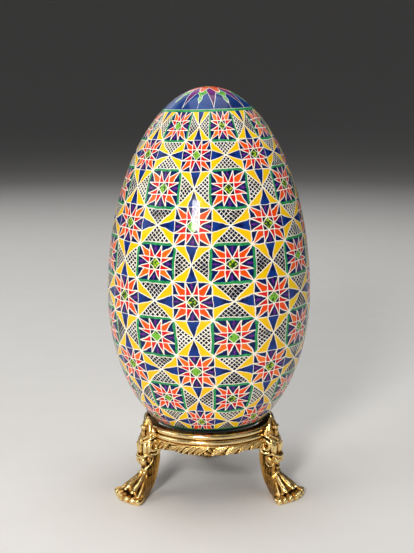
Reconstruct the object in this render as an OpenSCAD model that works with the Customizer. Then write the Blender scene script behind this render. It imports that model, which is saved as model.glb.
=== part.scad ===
/* [Egg] */
// Greatest diameter of the egg
egg_d = 57; // [50:1:62]
// Height of the egg above its widest circle
egg_upper = 57.5; // [50:0.5:60]
// Depth of the egg below its widest circle
egg_lower = 42.8; // [40:0.2:43]
// Thickness of the eggshell
shell_t = 0.6; // [0.4:0.1:1]
// Diameter of the blow hole in the underside
blow_hole_d = 3; // [2:0.5:4]
// Height of the egg's widest circle above the table
egg_waist_z = 56; // [56:0.1:57]

/* [Seat ring] */
// Outside radius of the lower moulding of the seat ring
ring_r = 19.15; // [18.9:0.05:19.5]
// Inside radius of the seat ring, where the egg rests
ring_inner_r = 15.55; // [15.55:0.05:16.2]
// Height of the top of the seat ring above the table
ring_top = 20; // [19.6:0.1:20]
// Height of the joint between seat ring and gallery band
ring_foot = 16.9; // [16.6:0.1:17]

/* [Gallery band] */
// Height of the lower edge of the gallery band
band_foot = 14.2; // [13.9:0.1:14.6]
// Wall thickness of the gallery band
band_t = 1.3; // [1:0.1:1.6]
// Number of leaf bosses round the gallery band
band_leaves = 36; // [24:6:48]

/* [Legs] */
// Number of legs
leg_count = 3; // [3:1:3]
// Thickness of a leg across its shank
leg_t = 4.2; // [3.6:0.1:5]
// Distance from the centre to the tip of a foot
toe_reach = 29.4; // [28.5:0.1:30]
// Width of a foot across its toes
toe_w = 13.2; // [11:0.2:14]
// Radius of the rivet that holds a leg to the band
rivet_r = 0.7; // [0.5:0.05:0.8]

/* [Motion] */
// How far the egg is shown lifted out of its ring
lift_travel = 60; // [30:5:80]

/* [Hidden] */
egg_r = egg_d / 2;
egg_steps = 72;
taper_up = -0.05;
taper_low = 0.04;
rivet_z = 15.6;
leg_angles = [-150, -30, 90];
gold = "#c9a050";
gold_dark = "#a9803a";

// Meridian of an egg: angle 0 is the top and 180 the bottom
function egg_pt(a, inset) =
    let (c = cos(a), s = sin(a),
         up = c > 0 ? egg_upper : egg_lower,
         k = c > 0 ? taper_up : taper_low)
    [(egg_r - inset) * s * sqrt(1 + k * c * c), egg_waist_z + (up - inset) * c];

// Hollow blown shell with one hole in its underside
module egg_shell() {
    color("#17357f")
    difference() {
        rotate_extrude($fn = 128)
        polygon(concat(
            [for (i = [0 : egg_steps]) let (p = egg_pt(180 * i / egg_steps, 0))
                [i == 0 || i == egg_steps ? 0 : p[0], p[1]]],
            [for (i = [egg_steps : -1 : 0]) let (p = egg_pt(180 * i / egg_steps, shell_t))
                [i == 0 || i == egg_steps ? 0 : p[0], p[1]]]));
        translate([0, 0, egg_waist_z - egg_lower - 1])
        cylinder(d = blow_hole_d, h = 4, $fn = 32);
    }
}

// Turned ring: two rolls with a dark groove between them and a plain seat inside
module seat_ring() {
    r1 = ring_r - 1.05;
    r2 = ring_r - 0.75;
    color(gold)
    rotate_extrude($fn = 128) {
        translate([ring_inner_r, ring_foot])
            square([ring_r - 0.85 - ring_inner_r, ring_top - ring_foot - 0.55]);
        translate([r1, ring_top - 0.8]) circle(r = 0.8, $fn = 32);
        translate([r2, ring_foot + 0.75]) circle(r = 0.75, $fn = 32);
        translate([ring_inner_r + 0.55, ring_top - 0.55]) circle(r = 0.55, $fn = 32);
        translate([ring_inner_r + 0.55, ring_top - 0.8])
            square([r1 - ring_inner_r - 0.55, 0.72]);
    }
}

// Cast gallery under the ring, with a row of leaf bosses on its outside
module gallery_band() {
    color(gold_dark)
    difference() {
        union() {
            rotate_extrude($fn = 128)
            polygon([
                [ring_r - band_t, ring_foot], [ring_r - 0.25, ring_foot],
                [ring_r - 0.25, band_foot + 0.5], [ring_r - 0.5, band_foot],
                [ring_r - band_t, band_foot]]);
            for (i = [0 : band_leaves - 1])
                rotate(i * 360 / band_leaves)
                translate([ring_r - 0.75, 0, (ring_foot + band_foot) / 2])
                rotate([30, 0, 0])
                translate([0, -0.5, -1.0]) cube([0.75, 1, 2.0]);
        }
        rivet_cuts();
        leg_clear();
    }
}

// Space that the three legs take out of the leaf bosses
module leg_clear() {
    for (a = leg_angles) rotate(a)
        translate([ring_r - 0.25, -leg_t / 2 - 0.05, band_foot - 1])
        cube([2, leg_t + 0.1, 5]);
}

// Radial holes for the leg rivets
module rivet_cuts() {
    for (a = leg_angles) rotate(a)
        translate([ring_r - 3, 0, rivet_z])
        rotate([0, 90, 0]) cylinder(r = rivet_r, h = 5.2, $fn = 32);
}

// Side outline of one leg, from the leaf at its top to the foot
module leg_outline() {
    polygon([
        [18.9, 21.2], [20.4, 21.9], [21.7, 21.2], [22.4, 19.4], [22.7, 17.4],
        [23.5, 15.2], [23.7, 12.8], [23.3, 10.4], [22.7, 8.4], [22.8, 6.6],
        [24.6, 5.6], [26.4, 4.4], [26.4, 1.2], [24.0, 1.4], [22.0, 0],
        [20.2, 0], [19.5, 1.8], [18.4, 3.6], [17.9, 5.5], [17.5, 7.5],
        [16.9, 9.6], [16.8, 11.2], [17.3, 13.0], [18.9, 13.9]]);
}

// One cast leg standing along +X, seated against the outside of the band
module leg() {
    color(gold)
    difference() {
        union() {
            translate([0, leg_t / 2, 0]) rotate([90, 0, 0])
                linear_extrude(leg_t) leg_outline();
            // knee scrolls, one on each flank
            translate([20.6, 0, 14.6]) rotate([90, 0, 0])
                cylinder(r = 2.3, h = leg_t + 1.6, center = true, $fn = 48);
            // fan of the foot
            hull() {
                translate([22.9, 0, 4.6]) cube([2.4, leg_t - 0.4, 2.6], center = true);
                translate([26.9, 0, 1.1]) cube([1.2, toe_w, 2.2], center = true);
                translate([toe_reach - 0.6, 0, 1.0]) cube([1.2, toe_w * 0.6, 2.0], center = true);
            }
        }
        translate([0, 0, 13.95]) cylinder(r = ring_r, h = 12, $fn = 128);
        rotate([0, 0, 0]) translate([ring_r - 3, 0, rivet_z])
            rotate([0, 90, 0]) cylinder(r = rivet_r, h = 5.2, $fn = 32);
    }
}

module front_left_leg() { rotate(leg_angles[0]) leg(); }
module front_right_leg() { rotate(leg_angles[1]) leg(); }
module back_leg() { rotate(leg_angles[2]) leg(); }

// Three rivets with flat heads inside the band
module leg_rivets() {
    color(gold_dark)
    for (a = leg_angles) rotate(a) translate([0, 0, rivet_z]) rotate([0, 90, 0]) {
        translate([0, 0, ring_r - band_t - 0.6]) cylinder(r = rivet_r, h = 2.8 + band_t - 0.2, $fn = 32);
        translate([0, 0, ring_r - band_t - 0.6]) cylinder(r = 1.2, h = 0.5, $fn = 32);
    }
}

egg_shell();
seat_ring();
gallery_band();
front_left_leg();
front_right_leg();
back_leg();
leg_rivets();
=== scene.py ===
import math

import bmesh
import bpy
import numpy as np
from mathutils import Matrix, Vector


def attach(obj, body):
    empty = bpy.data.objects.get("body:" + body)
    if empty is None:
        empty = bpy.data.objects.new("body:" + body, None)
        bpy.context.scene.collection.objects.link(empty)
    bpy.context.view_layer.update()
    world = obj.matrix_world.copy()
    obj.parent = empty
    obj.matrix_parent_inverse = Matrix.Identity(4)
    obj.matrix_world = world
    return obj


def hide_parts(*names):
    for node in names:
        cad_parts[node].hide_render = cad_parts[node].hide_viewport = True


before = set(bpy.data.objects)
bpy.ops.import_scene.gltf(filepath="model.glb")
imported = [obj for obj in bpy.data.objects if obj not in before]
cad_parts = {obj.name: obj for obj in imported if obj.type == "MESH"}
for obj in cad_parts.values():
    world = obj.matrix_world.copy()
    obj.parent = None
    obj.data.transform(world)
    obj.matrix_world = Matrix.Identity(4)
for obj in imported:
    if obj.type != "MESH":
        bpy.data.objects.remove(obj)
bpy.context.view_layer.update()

MM = 0.001
scene = bpy.context.scene


# ---------------------------------------------------------------- small tools
def new_mesh(name, verts, faces, mats=(), smooth=True):
    """A mesh object from vertices in millimetres."""
    me = bpy.data.meshes.new(name)
    v = np.asarray(verts, float) * MM
    me.from_pydata([tuple(p) for p in v], [], [tuple(int(i) for i in f) for f in faces])
    me.validate()
    me.update()
    for m in mats:
        me.materials.append(m)
    if smooth:
        me.polygons.foreach_set("use_smooth", [True] * len(me.polygons))
    ob = bpy.data.objects.new(name, me)
    scene.collection.objects.link(ob)
    return ob


class Tree:
    """Builds shader maths from Python expressions."""

    def __init__(self, mat):
        mat.use_nodes = True
        self.nt = mat.node_tree
        self.nodes = self.nt.nodes
        self.links = self.nt.links
        self.bsdf = self.nodes.get("Principled BSDF")
        self.count = 0

    def node(self, kind, **kw):
        n = self.nodes.new(kind)
        self.count += 1
        n.location = ((self.count % 40) * 180, -(self.count // 40) * 220)
        for k, v in kw.items():
            setattr(n, k, v)
        return n

    def put(self, socket, value):
        if isinstance(value, S):
            self.links.new(value.s, socket)
        elif isinstance(value, bpy.types.NodeSocket):
            self.links.new(value, socket)
        else:
            socket.default_value = value

    def math(self, op, *a, clamp=False):
        n = self.node("ShaderNodeMath", operation=op, use_clamp=clamp)
        for i, v in enumerate(a):
            self.put(n.inputs[i], v)
        return S(self, n.outputs[0])

    def mix(self, fac, a, b):
        n = self.node("ShaderNodeMix", data_type="RGBA")
        self.put(n.inputs[0], fac)
        self.put(n.inputs[6], a if not isinstance(a, tuple) else rgba(a))
        self.put(n.inputs[7], b if not isinstance(b, tuple) else rgba(b))
        return n.outputs[2]

    def blend(self, fac, a, b):
        """Mix of two plain numbers."""
        return a + (b - a) * fac if isinstance(a, S) or isinstance(b, S) or isinstance(fac, S) else a + (b - a) * fac

    def ramp(self, x, lo, hi, out_lo=0.0, out_hi=1.0, smooth=True):
        n = self.node("ShaderNodeMapRange", interpolation_type="SMOOTHSTEP" if smooth else "LINEAR")
        n.clamp = True
        self.put(n.inputs[0], x)
        self.put(n.inputs[1], lo)
        self.put(n.inputs[2], hi)
        self.put(n.inputs[3], out_lo)
        self.put(n.inputs[4], out_hi)
        return S(self, n.outputs[0])

    def noise(self, vec, scale, detail=2.0, rough=0.5, colour=False, distortion=0.0):
        n = self.node("ShaderNodeTexNoise")
        n.noise_dimensions = "3D"
        self.put(n.inputs["Vector"], vec)
        n.inputs["Scale"].default_value = scale
        n.inputs["Detail"].default_value = detail
        n.inputs["Roughness"].default_value = rough
        n.inputs["Distortion"].default_value = distortion
        return n.outputs["Color"] if colour else S(self, n.outputs["Fac"])

    def split(self, vec):
        n = self.node("ShaderNodeSeparateXYZ")
        self.links.new(vec, n.inputs[0])
        return [S(self, o) for o in n.outputs]

    def join(self, x, y, z):
        n = self.node("ShaderNodeCombineXYZ")
        for i, v in enumerate((x, y, z)):
            self.put(n.inputs[i], v)
        return n.outputs[0]

    def coords(self):
        return self.node("ShaderNodeTexCoord").outputs["Object"]

    def attr(self, name):
        n = self.node("ShaderNodeAttribute", attribute_name=name)
        n.attribute_type = "GEOMETRY"
        return n

    def bump(self, height, strength, distance, normal=None):
        n = self.node("ShaderNodeBump")
        n.inputs["Strength"].default_value = strength
        n.inputs["Distance"].default_value = distance
        self.put(n.inputs["Height"], height)
        if normal is not None:
            self.links.new(normal, n.inputs["Normal"])
        return n.outputs[0]


class S:
    """A number at a shading point."""

    def __init__(self, t, s):
        self.t, self.s = t, s

    def __add__(self, o): return self.t.math("ADD", self, o)
    __radd__ = __add__
    def __sub__(self, o): return self.t.math("SUBTRACT", self, o)
    def __rsub__(self, o): return self.t.math("SUBTRACT", o, self)
    def __mul__(self, o): return self.t.math("MULTIPLY", self, o)
    __rmul__ = __mul__
    def __truediv__(self, o): return self.t.math("DIVIDE", self, o)
    def __rtruediv__(self, o): return self.t.math("DIVIDE", o, self)
    def __neg__(self): return self.t.math("MULTIPLY", self, -1.0)
    def abs(self): return self.t.math("ABSOLUTE", self)
    def fract(self): return self.t.math("FRACT", self)
    def floor(self): return self.t.math("FLOOR", self)
    def sqrt(self): return self.t.math("SQRT", self)
    def min(self, o): return self.t.math("MINIMUM", self, o)
    def max(self, o): return self.t.math("MAXIMUM", self, o)
    def lt(self, o): return self.t.math("LESS_THAN", self, o)
    def gt(self, o): return self.t.math("GREATER_THAN", self, o)
    def inv(self): return self.t.math("SUBTRACT", 1.0, self)


def rgba(c):
    return tuple(c) + (1.0,) if len(c) == 3 else tuple(c)


def srgb(r, g, b):
    """Linear colour from 8-bit display values."""
    def f(v):
        v /= 255.0
        return v / 12.92 if v <= 0.04045 else ((v + 0.055) / 1.055) ** 2.4
    return (f(r), f(g), f(b))


# ---------------------------------------------------------------- the egg
EGG_R, EGG_UP, EGG_LOW, WAIST = 28.5, 57.5, 42.8, 56.0


def egg_meridian(t):
    """Radius and height in mm at angle t from the top."""
    c, s = np.cos(t), np.sin(t)
    up = np.where(c > 0, EGG_UP, EGG_LOW)
    k = np.where(c > 0, -0.05, 0.04)
    return EGG_R * s * np.sqrt(1 + k * c * c), WAIST + up * c


def egg_radius(z):
    t = np.linspace(0, np.pi, 4001)
    r, zz = egg_meridian(t)
    return np.interp(-np.asarray(z, float), -zz, r)


# Height over the waist, in units of the egg's radius, of each row line and row middle of the design
ROW_Z = [1.80, 1.672, 1.545, 1.412, 1.268, 1.118, 0.957, 0.790, 0.612, 0.447, 0.292, 0.107,
         -0.068, -0.234, -0.404, -0.560, -0.720, -0.862, -0.990, -1.125, -1.255]
ROW_V = [0.5 * i for i in range(21)]
# Column middles round the front as a steady hand really spaces them, in degrees, then even ones round the back
COL_LON = [-53.0 - 1.5, -30.3 - 1.5, -9.2 - 1.5, 12.5 - 1.5, 36.4 - 1.5, 59.8 - 1.5]
COL_LON += [COL_LON[5] + (360 + COL_LON[0] - COL_LON[5]) / 11 * k for k in range(1, 12)]
DRIFT_Z = [-1.6, -1.13, -0.87, -0.56, -0.24, 0.1, 0.3, 2.1]
DRIFT = [3.6, 3.3, 2.7, 1.8, 0.9, 0.6, 0.0, 0.0]


def make_egg(mat):
    n_seg, n_ring = 288, 260
    hole = 1.45
    t_end = np.pi - math.asin(hole / 28.5) * 1.0
    # angle at which the meridian reaches the blow hole's radius
    tt = np.linspace(np.pi / 2, np.pi, 4000)
    rr, _ = egg_meridian(tt)
    t_end = float(np.interp(-hole, -rr, tt))
    ts = np.concatenate([np.linspace(0, t_end, n_ring)])
    r, z = egg_meridian(ts)
    # rounded lip of the hole, its bore and its end inside the shell
    lip = [(hole - 0.10, z[-1] + 0.05), (hole - 0.17, z[-1] + 0.2), (hole - 0.17, z[-1] + 1.2), (hole - 0.17, z[-1] + 2.6)]
    r = np.concatenate([r, [p[0] for p in lip]])
    z = np.concatenate([z, [p[1] for p in lip]])
    lon = np.arange(n_seg) * 2 * np.pi / n_seg
    verts = [(0, 0, z[0])]
    for i in range(1, len(r)):
        for a in lon:
            verts.append((r[i] * math.sin(a), -r[i] * math.cos(a), z[i]))
    faces, corner = [], []
    for j in range(n_seg):
        faces.append((0, 1 + j, 1 + (j + 1) % n_seg))
        corner.append((j, j, j + 1))
    for i in range(1, len(r) - 1):
        a0, b0 = 1 + (i - 1) * n_seg, 1 + i * n_seg
        for j in range(n_seg):
            k = (j + 1) % n_seg
            faces.append((a0 + j, b0 + j, b0 + k, a0 + k))
            corner.append((j, j, j + 1, j + 1))
    end = len(verts)
    verts.append((0, 0, z[-1]))
    a0 = 1 + (len(r) - 2) * n_seg
    for j in range(n_seg):
        faces.append((a0 + j, end, a0 + (j + 1) % n_seg))
        corner.append((j, j, j + 1))
    ob = new_mesh("egg_dyed_shell", verts, faces, [mat])
    me = ob.data
    assert len(me.polygons) == len(faces)
    V = np.array(verts)
    zn = (V[:, 2] - WAIST) / EGG_R
    # arc length from the top, for the cap
    r_l, z_l = egg_meridian(np.linspace(0, np.pi, 2000))
    arc = np.concatenate([[0], np.cumsum(np.hypot(np.diff(r_l), np.diff(z_l)))])
    arc_cap = np.interp(-(WAIST + 1.8 * EGG_R), -z_l, arc)
    rho = np.interp(-V[:, 2], -z_l, arc) / arc_cap
    lons = np.degrees(lon)
    grid = np.zeros((len(me.loops), 3))
    li = 0
    col_x = np.array(COL_LON + [COL_LON[0] + 360])
    for f, c in zip(faces, corner):
        for vi, cj in zip(f, c):
            z_ = zn[vi]
            L = cj * 360.0 / n_seg
            z_t = z_ - 0.012 * math.sin(math.radians(L))
            d = np.interp(z_, DRIFT_Z, DRIFT)
            Ld = (L - d - (COL_LON[0])) % 360.0
            grid[li] = (Ld, z_t, rho[vi])
            li += 1
    # unwrap the seam inside each face
    start = np.array([p.loop_start for p in me.polygons])
    total = np.array([p.loop_total for p in me.polygons])
    for s, n in zip(start, total):
        g = grid[s:s + n, 0]
        if g.max() - g.min() > 180:
            g[g < 180] += 360
            grid[s:s + n, 0] = g
    Ld = grid[:, 0]
    base = np.array([c - COL_LON[0] for c in COL_LON] + [360 + COL_LON[1] - COL_LON[0]])
    gu = np.interp(Ld, base, np.arange(len(base)) + 0.5)
    zt = grid[:, 1]
    rz = np.array(ROW_Z)
    gv = np.interp(-zt, -rz, ROW_V)
    gv = np.where(zt > rz[0], -(zt - rz[0]) / 0.26, gv)
    gv = np.where(zt < rz[-1], 10 + (rz[-1] - zt) / 0.26, gv)
    out = np.stack([gu, gv, grid[:, 2]], 1)
    at = me.attributes.new("grid", "FLOAT_VECTOR", "CORNER")
    at.data.foreach_set("vector", out.ravel().astype(np.float32))
    return ob


def egg_material():
    m = bpy.data.materials.new("dyed_eggshell")
    t = Tree(m)
    pos = t.coords()
    g = t.attr("grid")
    gu0, gv0, rho = t.split(g.outputs["Vector"])
    # the hand's wobble: two slow noises shift the design, a finer one shakes the line edges
    wob = t.split(t.noise(pos, 260.0, 1.0, 0.5, colour=True))
    fine = t.split(t.noise(pos, 1100.0, 1.0, 0.5, colour=True))
    gu = gu0 + (wob[0] - 0.5) * 0.085 + (fine[0] - 0.5) * 0.030
    gv = gv0 + (wob[1] - 0.5) * 0.085 + (fine[1] - 0.5) * 0.030
    inside = gv.gt(0.0) * gv.lt(10.0)
    cu, cv = gu.floor(), gv.floor()
    x = (gu - cu) * 2.0 - 1.0
    y = (gv - cv) * 2.0 - 1.0
    ax, ay = x.abs(), y.abs()
    p, q = ax.max(ay), ax.min(ay)
    vert = ay.gt(ax)
    # one random number per cell
    wn = t.node("ShaderNodeTexWhiteNoise", noise_dimensions="2D")
    t.links.new(t.join(cu, cv, 0.0), wn.inputs["Vector"])
    cell = t.split(wn.outputs["Color"])
    pc = ((cu + 1.0) * 0.5).fract() * 2.0  # 0 or 1: column kind
    pr = (cv * 0.5).fract() * 2.0          # 0 or 1: row kind
    star = (pc - pr).abs().lt(0.5)
    kind_b = pr.gt(0.5)                     # kind of a star cell
    # does this side of a cross cell face an A star
    face_a = vert * (1.0 - pc) + (1.0 - vert) * pc
    face_a = face_a.gt(0.5)

    # width of the wax lines, uneven as drawn
    wide = t.noise(pos, 420.0, 2.0, 0.6)
    w = 0.016 + wide * 0.022                # about 0.027
    wt = w * 0.80

    # distances to the star's lines
    third = 1.0 / 3.0
    d_grid = (q - third).abs().min((p - third).abs())
    d_v = (2.0 * q - (p - third)).abs() * (1 / math.sqrt(5)) + p.lt(third) * 9.0
    kd = (p - 0.62) * 0.667 - (q - third) * 0.38
    d_kite = kd.abs() * (1 / 0.7677) + q.lt(third) * 9.0
    d_dia = (p + q - third).abs() * (1 / math.sqrt(2))
    d_star = (d_grid - w).min(d_v - w).min(d_kite - w).min(d_dia - wt)
    # distances to the cross cell's lines
    d_diag = (p - q) * (1 / math.sqrt(2)) - w
    d_spike = (q - p * third).abs() * 0.949 - wt
    lat = 0.25
    hatch = t.noise(pos, 190.0, 1.0, 0.5)
    wl = (hatch - 0.5) * 0.050 + 0.006 + wide * 0.008 + cell[0] * 0.010
    la = (((p - q) / lat + 0.5).fract() - 0.5).abs() * (lat / math.sqrt(2))
    lb = (((p + q) / lat + 0.5).fract() - 0.5).abs() * (lat / math.sqrt(2))
    d_bar = (p - 0.845).abs() - wt * 0.8
    d_lat = (la - wl).min(lb - wl - 0.004).min(d_bar) + p.gt(0.845) * 9.0
    d_a = d_lat.min(d_bar)
    d_cross = d_diag.min(face_a * d_a + face_a.inv() * d_spike)
    # cell edges: drawn white round the B stars, thin where spike meets star, and left green round the A stars
    edge_white = star * kind_b + star.inv() * face_a.inv()
    d_edge = (1.0 - p) - w * 1.05 + q.lt(third) * w * 0.45 + edge_white.inv() * 9.0
    d_blob = (((1.0 - ax) * (1.0 - ax) + (1.0 - ay) * (1.0 - ay)).sqrt() - 0.062)
    d_hub = (x * x + y * y).sqrt() - 0.055 + star * 9.0
    d_all = (star * d_star + star.inv() * d_cross).min(d_edge).min(d_blob).min(d_hub)
    soft = 0.010
    white = t.ramp(d_all, -soft, soft, 1.0, 0.0)

    # dye colours
    navy, deep, blue = srgb(4, 12, 66), srgb(3, 6, 28), srgb(8, 54, 136)
    purple, red, orange = srgb(104, 36, 140), srgb(214, 6, 16), srgb(248, 78, 2)
    yellow, green, lime = srgb(255, 212, 0), srgb(22, 132, 66), srgb(168, 200, 30)
    cream = t.mix(t.ramp(wide, 0.3, 0.7), srgb(255, 253, 248), srgb(255, 246, 226))
    mot = t.noise(pos, 900.0, 3.0, 0.6)
    mot_lo = t.noise(pos, 160.0, 2.0, 0.5)
    nb = t.mix(t.ramp(mot, 0.35, 0.7), navy, srgb(8, 34, 104))
    # star
    tri_mid = (2.0 * q - (p - 0.42) * 0.8).lt(0.0)
    c_tri = t.mix(t.ramp((p - 0.50) * 0.75 - 2.0 * q + (mot - 0.5) * 0.25 - (p - 0.80).max(0.0) * 1.3, -0.02, 0.20), nb, purple)
    redv = t.mix(t.ramp(mot, 0.3, 0.75), red, srgb(236, 40, 40))
    orv = t.mix(t.ramp(cell[1] * 0.6 + mot * 0.5, 0.3, 0.9), orange, srgb(255, 122, 20))
    in_v = (2.0 * q - (p - third)).lt(0.0)
    side = t.mix(in_v, redv, c_tri)
    corner = t.mix(kd.lt(0.0), nb, orv)
    outer = t.mix(q.gt(third), side, corner)
    mesh_ = (((p - q) * 9.0).fract() - 0.5).abs()
    limev = t.mix(t.ramp((p - q).abs() + (fine[2] - 0.5) * 0.1, 0.02, 0.05), srgb(60, 110, 40), lime)
    limev = t.mix(t.ramp(cell[2], 0.3, 0.9), limev, srgb(120, 190, 60))
    scrib = t.noise(pos, 1700.0, 1.0, 0.5)
    limev = t.mix(t.ramp(scrib + (0.5 - cell[2]) * 0.16, 0.52, 0.60), limev, t.mix(0.7, srgb(40, 96, 34), deep))
    centre = t.mix((p + q).lt(third * 0.92), deep, limev)
    c_star = t.mix(p.lt(third), outer, centre)
    # cross
    yel = t.mix(t.ramp(mot_lo * 0.7 + cell[1] * 0.4, 0.25, 0.9), yellow, srgb(250, 196, 6))
    spike = t.mix(t.ramp(p + (mot - 0.5) * 0.5, 0.35, 0.9), nb, blue)
    c_b = t.mix(q.gt(p * third), spike, yel)
    greenv = t.mix(t.ramp(mot, 0.3, 0.75), green, srgb(60, 172, 104))
    c_a = t.mix(p.gt(0.845), t.mix(t.ramp(mot, 0.4, 0.8), deep, srgb(6, 20, 58)), greenv)
    c_x = t.mix(face_a, c_b, c_a)
    body = t.mix(star, c_x, c_star)
    body = t.mix(white, body, cream)

    # ---- cap: blue ground, sixteen drawn rays, and a small flower at the top
    ru = gu0 + 0.27 + (fine[0] - 0.5) * 0.05
    ki = ru.floor()
    rx = ((ru - ki) - 0.5).abs() * 2.0
    even = (ki * 0.5).fract().gt(0.25)
    rr = rho + (fine[1] - 0.5) * 0.03
    # across-distance, equal to width near the edge
    across = rx * rr
    long_p = t.ramp(rr, 0.30, 0.42) * 1.0
    taper = t.ramp(rr, 0.46, 0.92, 0.44, 0.0, smooth=False)
    d_pet = across - taper
    lobes = t.ramp(rr, 0.44, 0.80, 0.50, 0.06, smooth=False) * (t.math("SINE", rr * 27.0 + 1.2) * 0.30 + 0.80) + rr.gt(0.80) * -0.2
    d_leaf = across - lobes
    d_ray = even * d_pet + even.inv() * d_leaf
    in_ray = d_ray.lt(0.0)
    line_ray = t.ramp(d_ray.abs(), 0.020, 0.034, 1.0, 0.0) * rr.gt(0.36) * rr.lt(0.95)
    spine = t.ramp(across, 0.010, 0.020, 1.0, 0.0) * rr.gt(0.55) * rr.lt(0.95) * even.inv()
    pet_c = t.mix(t.ramp(rr + (mot - 0.5) * 0.9, 0.4, 0.8), srgb(126, 44, 132), srgb(66, 20, 84))
    leaf_c = t.mix(t.ramp(mot + (fine[2] - 0.5), 0.35, 0.65), srgb(120, 196, 64), srgb(44, 150, 88))
    ray_c = t.mix(even, leaf_c, pet_c)
    cap_blue = t.mix(t.ramp(mot_lo, 0.3, 0.7), srgb(8, 40, 104), srgb(18, 70, 142))
    cap = t.mix(in_ray, cap_blue, ray_c)
    cap = t.mix((line_ray + spine).min(1.0), cap, cream)
    fl = t.math("COSINE", gu0 * (2 * math.pi / 16 * 8))
    d_fl = rr - (0.33 + fl * 0.11)
    flower = t.mix(t.ramp(rr + (mot - 0.5) * 0.2, 0.05, 0.12), srgb(250, 190, 40), t.mix(t.ramp(fl, -0.6, 0.4), srgb(216, 40, 36), srgb(246, 110, 60)))
    cap = t.mix(d_fl.lt(0.0), cap, flower)
    cap = t.mix(t.ramp(d_fl.abs(), 0.012, 0.026, 1.0, 0.0), cap, cream)
    # green band that closes the design at the top, with a white line under it
    dv = gv0 + (fine[1] - 0.5) * 0.02
    col = t.mix(gv.lt(0.0), body, cap)
    col = t.mix(dv.gt(-0.064) * dv.lt(-0.03), col, t.mix(0.5, greenv, cream))
    top_band = dv.gt(-0.048) * dv.lt(0.026)
    col = t.mix(top_band, col, greenv)
    # ---- foot of the egg: dark band and plain navy
    foot = t.mix(t.ramp(mot, 0.3, 0.8), srgb(4, 8, 28), srgb(8, 16, 48))
    col = t.mix(dv.gt(9.90), col, foot)
    low_band = dv.gt(9.86) * dv.lt(9.925)
    col = t.mix(low_band, col, t.mix(0.5, greenv, srgb(16, 84, 48)))

    t.put(t.bsdf.inputs["Base Color"], col)
    # eggshell under varnish
    ro = t.noise(pos, 700.0, 3.0, 0.6)
    t.put(t.bsdf.inputs["Roughness"], t.ramp(ro, 0.2, 0.8, 0.26, 0.40))
    pores = t.noise(pos, 2600.0, 2.0, 0.6)
    swell = t.noise(pos, 130.0, 2.0, 0.5)
    nrm = t.bump(pores * 0.25 + swell + white * 0.10, 0.55, 0.00006)
    t.links.new(nrm, t.bsdf.inputs["Normal"])
    t.bsdf.inputs["Coat Weight"].default_value = 0.34
    t.bsdf.inputs["Coat Roughness"].default_value = 0.06
    t.bsdf.inputs["Coat IOR"].default_value = 1.45
    coat_n = t.bump(swell + ro * 0.12, 0.35, 0.00006)
    t.links.new(coat_n, t.bsdf.inputs["Coat Normal"])
    t.bsdf.inputs["Specular IOR Level"].default_value = 0.1
    return m


egg = make_egg(egg_material())
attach(egg, "egg")
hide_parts("egg_shell")

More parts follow.
